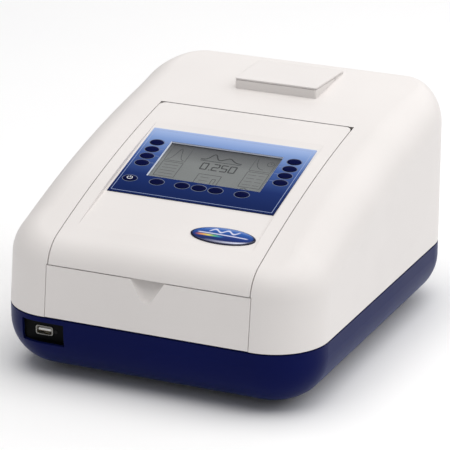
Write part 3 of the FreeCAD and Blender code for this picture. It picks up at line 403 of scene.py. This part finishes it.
FILM_LINE = ink("film_line", (0.30, 0.38, 0.60))
KEY_LINE = ink("key_line", (0.13, 0.16, 0.25))
LEADER_LINE = ink("leader_line", (0.20, 0.26, 0.42))
DISPLAY_WINDOW = window_sheet("display_window_sheet")
DISPLAY_EDGE = moulded("display_edge", (0.75, 0.80, 0.92), 0.3, bevel=0.1 * MM)
DISPLAY_INK = ink("display_ink", INK)
DISPLAY_FAINT = ink("display_faint", FAINT_INK)
SILVER_PRINT = ink("silver_print", (0.85, 0.86, 0.90), 0.35)
SOCKET_METAL = metal("socket_metal", (0.27, 0.265, 0.25), 0.30, scale=900.0)
GOLD = metal("gold_contacts", (0.85, 0.62, 0.25), 0.22)


def finish_cad_nodes():
    """Give every CAD node its slot's material."""
    slot_of = {part["node"]: part["material_slot"] for part in frame["record"]["subparts"]}
    for name, node in NODES.items():
        node.data.materials.clear()
        node.data.materials.append(SLOTS[slot_of[name]])


# Outlines and closed meshes

def ellipse(x, y, length, width, count=48):
    """Ellipse round (x, y) with the given full length and width."""
    turns = [2 * math.pi * i / count for i in range(count)]
    return [(x + length / 2 * math.cos(t), y + width / 2 * math.sin(t)) for t in turns]


def rectangle(x0, x1, y0, y1):
    return [(x0, y0), (x1, y0), (x1, y1), (x0, y1)]


def rounded_rectangle(x0, x1, y0, y1, radius, steps=6):
    points = []
    for cx, cy, start in ((x1 - radius, y1 - radius, 0), (x0 + radius, y1 - radius, 90),
                          (x0 + radius, y0 + radius, 180), (x1 - radius, y0 + radius, 270)):
        for i in range(steps + 1):
            turn = math.radians(start + 90 * i / steps)
            points.append((cx + radius * math.cos(turn), cy + radius * math.sin(turn)))
    return points


class Solid:
    """Collects closed forms into one mesh, placed on the control panel or on another face."""

    def __init__(self, place=PANEL):
        self.place = place
        self.points = []
        self.faces = []

    def loft(self, sections, ring=False):
        """Skin over (outline, level) sections of equal length, capped, or closed on itself as a ring."""
        start, count, rings = len(self.points), len(sections[0][0]), len(sections)
        for outline, level in sections:
            self.points += [self.place @ Vector((x, y, level)) for x, y in outline]
        for row in range(rings if ring else rings - 1):
            a, b = start + row * count, start + (row + 1) % rings * count
            self.faces += [(a + i, a + (i + 1) % count, b + (i + 1) % count, b + i) for i in range(count)]
        if not ring:
            last = start + (rings - 1) * count
            self.faces += [tuple(range(start + count - 1, start - 1, -1)), tuple(range(last, last + count))]

    def prism(self, outline, low, high):
        self.loft([(outline, low), (outline, high)])

    def band(self, inner, outer, low, high):
        """A flat ring between two outlines."""
        self.loft([(inner, low), (outer, low), (outer, high), (inner, high)], True)

    def path(self, points, width, low, high):
        """Straight flat strokes through (x, y) points."""
        for start, end in zip(points, points[1:]):
            a, b = Vector(start), Vector(end)
            side = (b - a).orthogonal().normalized() * width / 2
            self.prism([a - side, b - side, b + side, a + side], low, high)

    def piece(self, name, material, body, slot, crease=None):
        """The finished object, riding on its body and smooth except at edges sharper than crease degrees."""
        mesh = bpy.data.meshes.new(name)
        mesh.from_pydata(self.points, [], self.faces)
        skin = bmesh.new()
        skin.from_mesh(mesh)
        bmesh.ops.recalc_face_normals(skin, faces=skin.faces)
        skin.to_mesh(mesh)
        skin.free()
        if crease:
            mesh.shade_smooth()
            mesh.set_sharp_from_angle(angle=math.radians(crease))
        mesh.materials.append(material)
        piece = bpy.data.objects.new(name, mesh)
        bpy.context.scene.collection.objects.link(piece)
        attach(piece, body)
        return piece


def facing(centre, right, up):
    """A placing matrix whose x and y run along right and up, and whose z points out of the face."""
    right, up = Vector(right), Vector(up)
    place = Matrix((right, up, right.cross(up))).transposed().to_4x4()
    place.translation = centre
    return place


# Control panel

def film_print():
    """Border line, key outlines and the short lines that tie side keys to the display."""
    top = OVERLAY + PRINT
    outer, inner = (
        rounded_rectangle(edge - PANEL_HALF, PANEL_HALF - edge, PANEL_FOOT + edge, -edge, radius)
        for edge, radius in ((BORDER_INSET, 0.5 * MM), (BORDER_INSET + BORDER_WIDTH, 0.4 * MM)))
    border, rings, leaders = Solid(), Solid(), Solid()
    border.band(inner, outer, OVERLAY, top)
    for name in KEY_NODES:
        spot = node_on_panel(name)
        within = ellipse(spot.x, spot.y, KEY_LENGTH + OUTLINE_INNER, KEY_WIDTH + OUTLINE_INNER)
        around = ellipse(spot.x, spot.y, KEY_LENGTH + OUTLINE_OUTER, KEY_WIDTH + OUTLINE_OUTER)
        rings.band(within, around, OVERLAY, top)
        if name.startswith(("key_left_", "key_right_")):
            side = math.copysign(1.0, spot.x)
            level = spot.y + LEADER_RISE
            ends = [(spot.x - side * LEADER_START, level), (side * (LCD_HALF + LEADER_END), level)]
            leaders.path(ends, LEADER_WIDTH, OVERLAY, top)
    border.piece("film_border", FILM_LINE, "lid", "blue_membrane")
    rings.piece("key_outlines", KEY_LINE, "lid", "blue_membrane")
    leaders.piece("key_leader_lines", LEADER_LINE, "lid", "blue_membrane")


def key_cap(name):
    """Oval cap with a softly crowned top, on its flange and switch stem (length, width and level in mm)."""
    spot = node_on_panel(name)
    profile = ((3.0, 3.0, -4.95), (3.0, 3.0, -4.2), (13.8, 9.6, -4.2), (13.8, 9.6, -3.2), (12.2, 8.0, -3.2),
               (12.2, 8.0, 0.85), (11.9, 7.7, 1.15), (11.2, 7.0, 1.36), (9.0, 5.2, 1.46), (5.0, 2.6, 1.5))
    cap = Solid()
    cap.loft([(ellipse(spot.x, spot.y, length * MM, width * MM, 40), level * MM)
              for length, width, level in profile])
    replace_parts(cap.piece(f"{name}_cap", SLOTS["key_navy"], name, "key_navy", 40), name)


def power_mark():
    """Standby ring and bar printed on the power key."""
    spot = node_on_panel("key_power")
    low, high, stroke = OVERLAY + KEY_RISE - 0.15 * MM, OVERLAY + KEY_RISE + 0.03 * MM, 0.6 * MM
    turns = [math.radians(120 + 300 * i / 24) for i in range(25)]
    ring = [(spot.x + 2.3 * MM * math.cos(turn), spot.y + 1.8 * MM * math.sin(turn)) for turn in turns]
    mark = Solid()
    mark.path(ring, stroke, low, high)
    mark.path([(spot.x, spot.y + 0.3 * MM), (spot.x, spot.y + 2.4 * MM)], stroke, low, high)
    mark.piece("power_mark", SILVER_PRINT, "key_power", "key_navy")


def display():
    """Chamfered light frame and clear window over the display module."""
    edge, depth, back = 0.45 * MM, -0.35 * MM, -0.75 * MM
    outer = rounded_rectangle(-LCD_HALF, LCD_HALF, LCD_FOOT, LCD_TOP, 0.6 * MM)
    inner = rounded_rectangle(edge - LCD_HALF, LCD_HALF - edge, LCD_FOOT + edge, LCD_TOP - edge, 0.4 * MM)
    bezel, window = Solid(), Solid()
    bezel.loft([(outer, back), (outer, OVERLAY + 0.06 * MM), (inner, depth), (inner, back)], True)
    window.prism(inner, back, back + 0.2 * MM)
    bezel.piece("display_frame", DISPLAY_EDGE, "lid", "clear_glass")
    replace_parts(window.piece("display_window", DISPLAY_WINDOW, "lid", "clear_glass"), "lcd_window")


def on_screen(u, v):
    """The panel point at a share of the display's width from the left and of its height from the top."""
    return -LCD_HALF + 2 * LCD_HALF * u, LCD_TOP + (LCD_FOOT - LCD_TOP) * v


def screen_marks():
    """Generic picture on the display: plot icons down both sides, a menu box and a readout."""
    low, high = -SCREEN_DEPTH, PRINT - SCREEN_DEPTH
    thin, medium, bold = 0.45 * MM, 0.6 * MM, 1.1 * MM
    faint, dark = Solid(), Solid()

    def curve(solid, width, points):
        solid.path([on_screen(u, v) for u, v in points], width, low, high)

    for u0, u1, v0, v1 in ((0.035, 0.215, 0.05, 0.46), (0.035, 0.215, 0.50, 0.90), (0.78, 0.965, 0.05, 0.42),
                           (0.78, 0.965, 0.46, 0.88), (0.40, 0.60, 0.70, 0.985)):
        curve(faint, medium, rectangle(u0, u1, v0, v1) + [(u0, v0)])
    for v in (0.58, 0.66, 0.74, 0.82):
        curve(faint, thin, [(0.06, v), (0.19, v)])
    for v in (0.54, 0.63, 0.72, 0.81):
        curve(faint, thin, [(0.80, v), (0.87, v)])
        curve(faint, thin, [(0.89, v), (0.945, v)])
    for v in (0.78, 0.87):
        curve(faint, thin, [(0.43, v), (0.51, v)])
    curve(dark, thin, [(0.05 + 0.15 * i / 16, 0.42 - 0.31 * math.exp(-((i - 8) / 3.2) ** 2))
                       for i in range(17)])
    curve(dark, thin, [(0.80 + 0.09 * i / 12, 0.37 - 0.28 * math.exp(-i / 3.0)) for i in range(13)])
    curve(dark, thin, [(0.54, 0.93), (0.54, 0.80), (0.57, 0.80), (0.57, 0.93)])
    curve(dark, thin, [(0.80, 0.955), (0.84, 0.90), (0.88, 0.955), (0.84, 0.99), (0.80, 0.955)])
    x, y = on_screen(0.925, 0.19)
    dark.band(ellipse(x, y, 5.4 * MM, 5.4 * MM, 24), ellipse(x, y, 6.3 * MM, 6.3 * MM, 24), low, high)
    dark.path([(x, y + 2.0 * MM), (x, y), (x + 1.5 * MM, y)], thin, low, high)
    spectrum = []
    for i in range(49):
        u = i / 48
        height = 0.8 * math.exp(-((u - 0.28) / 0.10) ** 2) + 0.5 * math.exp(-((u - 0.66) / 0.14) ** 2)
        spectrum.append((0.33 + 0.36 * u, 0.30 - 0.20 * height))
    curve(dark, bold, spectrum)
    curve(dark, medium, [(0.33, 0.335), (0.69, 0.335)])
    readout(dark, low, high)
    faint.piece("display_boxes", DISPLAY_FAINT, "lid", "lcd_glass")
    dark.piece("display_readout", DISPLAY_INK, "lid", "lcd_glass")


def readout(solid, low, high):
    """A plain seven-segment number, as any instrument shows."""
    width, height, stroke = 5.2 * MM, 8.6 * MM, 1.15 * MM
    ends = {"a": (0, 0, 1, 0), "b": (1, 0, 1, 0.5), "c": (1, 0.5, 1, 1), "d": (0, 1, 1, 1),
            "e": (0, 0.5, 0, 1), "f": (0, 0, 0, 0.5), "g": (0, 0.5, 1, 0.5)}
    segments = {"0": "abcdef", "2": "abged", "5": "afgcd"}
    x, y = on_screen(0.375, 0.40)
    for digit in "0.250":
        if digit == ".":
            solid.path([(x + 0.2 * MM, y - height), (x + 1.4 * MM, y - height)], stroke, low, high)
            x += 2.6 * MM
            continue
        for segment in segments[digit]:
            u0, v0, u1, v1 = ends[segment]
            line = [(x + u0 * width, y - v0 * height), (x + u1 * width, y - v1 * height)]
            solid.path(line, stroke, low, high)
        x += width + 2.3 * MM


def badge_dome():
    """Resin badge with a lens-shaped top (shares of its length and of its rise)."""
    low, high = corners("lid_badge")
    spot = node_on_panel("lid_badge")
    length = high.x - low.x
    profile = ((1.0, 0.0), (1.0, 0.35), (0.985, 0.50), (0.955, 0.60), (0.90, 0.70),
               (0.80, 0.81), (0.65, 0.90), (0.45, 0.96), (0.22, 0.99), (0.08, 1.0))
    dome = Solid()
    dome.loft([(ellipse(spot.x, spot.y, length * share, length * BADGE_RATIO * share, 72), level * BADGE_RISE)
               for share, level in profile])
    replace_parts(dome.piece("badge_dome", SLOTS["badge_blue"], "lid", "badge_blue", 180), "lid_badge")


# Small fittings

def front_socket():
    """Rounded metal mouth of the front USB socket, and the gold strips on its tongue.

    The mouth's profile is growth over the shell, level and corner radius in mm.
    """
    low, high = corners("usb_socket_shell")
    half_x, half_z = (high.x - low.x) / 2, (high.z - low.z) / 2
    mouth = facing(((low.x + high.x) / 2, low.y, (low.z + high.z) / 2), (1, 0, 0), (0, 0, 1))
    profile = ((-0.50, 0.0, 1.3), (-0.35, 0.18, 1.4), (-0.10, 0.28, 1.6), (0.20, 0.24, 1.8),
               (0.62, 0.05, 2.0), (0.68, -0.1, 2.2), (0.68, -0.49, 2.2), (-0.50, -0.49, 1.3))
    rim, strips = Solid(mouth), Solid(mouth)
    sections = []
    for grow, level, radius in profile:
        wide, tall = half_x + grow * MM, half_z + grow * MM
        sections.append((rounded_rectangle(-wide, wide, -tall, tall, radius * MM), level * MM))
    rim.loft(sections, True)
    front = low.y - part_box("usb_socket_tongue")[0][1] - 0.3 * MM
    for i in range(4):
        x = (i - 1.5) * CONTACT_PITCH
        strips.prism(rectangle(x - 0.5 * MM, x + 0.5 * MM, -0.7 * MM, -0.2 * MM), front - 7.0 * MM, front)
    rim.piece("front_socket_mouth", SOCKET_METAL, "case", "nickel", 180)
    strips.piece("front_socket_contacts", GOLD, "case", "nickel")


def rear_fasteners():
    """Cross-head screws at the rear plate's corners, with black crosses painted in as the shade of their recesses,
    and the hexagonal posts beside the serial socket.

    Both profiles are diameter and level in mm.
    """
    low, high = corners("rear_plate")
    serial = next(m for m in frame["record"]["mounts"] if m["name"] == "serial_socket")
    screws, cross_shade = Solid(), Solid()
    for x in (low.x + SCREW_INSET, high.x - SCREW_INSET):
        for z in (low.z + SCREW_INSET, high.z - SCREW_INSET):
            screws.place = cross_shade.place = facing((x, high.y, z), (-1, 0, 0), (0, 0, 1))
            profile = ((5.6, 0.0), (5.6, 0.5), (5.208, 0.85), (4.2, 1.1), (2.24, 1.25))
            screws.loft([(ellipse(0, 0, size * MM, size * MM, 24), level * MM) for size, level in profile])
            # Painted shade: black crosses stand in for the shaded hollows of the cross recesses.
            for wide, tall in ((1.3 * MM, 0.275 * MM), (0.275 * MM, 1.3 * MM)):
                cross_shade.prism(rounded_rectangle(-wide, wide, -tall, tall, 0.1 * MM, 1), 0.6 * MM, 1.27 * MM)
    for side in (-1, 1):
        centre = (serial["pos_m"][0] + side * POST_REACH, high.y, serial["pos_m"][2])
        screws.place = facing(centre, (-1, 0, 0), (0, 0, 1))
        profile = ((5.4, 0.0), (5.4, 2.1), (4.644, 2.5), (2.7, 2.5), (2.7, 0.6))
        screws.loft([(ellipse(0, 0, size * MM, size * MM, 6), level * MM) for size, level in profile])
    screws.piece("rear_fasteners", SLOTS["zinc_screws"], "case", "zinc_screws")
    # The black crosses are painted shade for the screw recesses.
    cross_shade.piece("rear_screw_recess_shade", SLOTS["black_plastic"], "case", "zinc_screws")


# Scene

def camera():
    """Long-lens camera at the photograph's viewing angle."""
    azimuth, elevation, roll = (math.radians(a) for a in (VIEW_AZIMUTH, VIEW_ELEVATION, VIEW_ROLL))
    back = Vector((math.sin(azimuth) * math.cos(elevation), -math.cos(azimuth) * math.cos(elevation),
                   math.sin(elevation)))
    right = Vector((math.cos(azimuth), math.sin(azimuth), 0.0))
    up = back.cross(right)
    turned_right = right * math.cos(roll) + up * math.sin(roll)
    turned_up = up * math.cos(roll) - right * math.sin(roll)
    data = bpy.data.cameras.new("camera")
    data.lens = LENS
    data.sensor_width = 36.0
    data.clip_end = 50.0
    item = bpy.data.objects.new("camera", data)
    bpy.context.scene.collection.objects.link(item)
    place = Matrix((turned_right, turned_up, back)).transposed().to_4x4()
    place.translation = VIEW_PLACE
    item.matrix_world = place
    bpy.context.scene.camera = item


def softbox(name, place, target, size, power, colour=(1.0, 1.0, 1.0)):
    """Rectangular area light turned towards a target."""
    data = bpy.data.lights.new(name, "AREA")
    data.shape = "RECTANGLE"
    data.size, data.size_y = size
    data.energy = power
    data.color = colour
    item = bpy.data.objects.new(name, data)
    bpy.context.scene.collection.objects.link(item)
    item.location = place
    item.rotation_euler = (Vector(target) - Vector(place)).to_track_quat("-Z", "Y").to_euler()


def studio():
    """Soft lights, an even surround and a white paper floor."""
    scene = bpy.context.scene
    world = bpy.data.worlds.new("studio")
    scene.world = world
    world.use_nodes = True
    backdrop = world.node_tree.nodes["Background"]
    backdrop.inputs["Color"].default_value = (0.97, 0.98, 1.0, 1.0)
    backdrop.inputs["Strength"].default_value = 0.315
    softbox("top_softbox", (0.1, -0.2, 3.0), (0.0, 0.0, 0.1), (3.2, 3.2), 71.0, (1.0, 0.985, 0.97))
    softbox("right_softbox", (2.0, 0.7, 1.7), (0.0, 0.1, 0.1), (2.2, 1.8), 21.0)
    softbox("floor_softbox", (0.0, 3.6, 2.6), (0.0, 1.6, 0.0), (4.0, 2.0), 26.0)
    mesh = bpy.data.meshes.new("floor")
    mesh.from_pydata([(x, y, 0.0) for x, y in rectangle(-6.0, 6.0, -6.0, 6.0)], [], [(0, 1, 2, 3)])
    floor = bpy.data.objects.new("floor", mesh)
    scene.collection.objects.link(floor)
    g = Graph("floor_paper")
    paper = ((0.3, (0.965, 0.965, 0.97)), (0.7, (0.98, 0.98, 0.98)))
    g.set(Base_Color=g.ramp(g.noise(3.0), paper), Roughness=0.9)
    mesh.materials.append(g.material)
    scene.view_settings.view_transform = "Standard"


finish_cad_nodes()
film_print()
for key_node in KEY_NODES:
    key_cap(key_node)
power_mark()
display()
screen_marks()
badge_dome()
front_socket()
rear_fasteners()
camera()
studio()
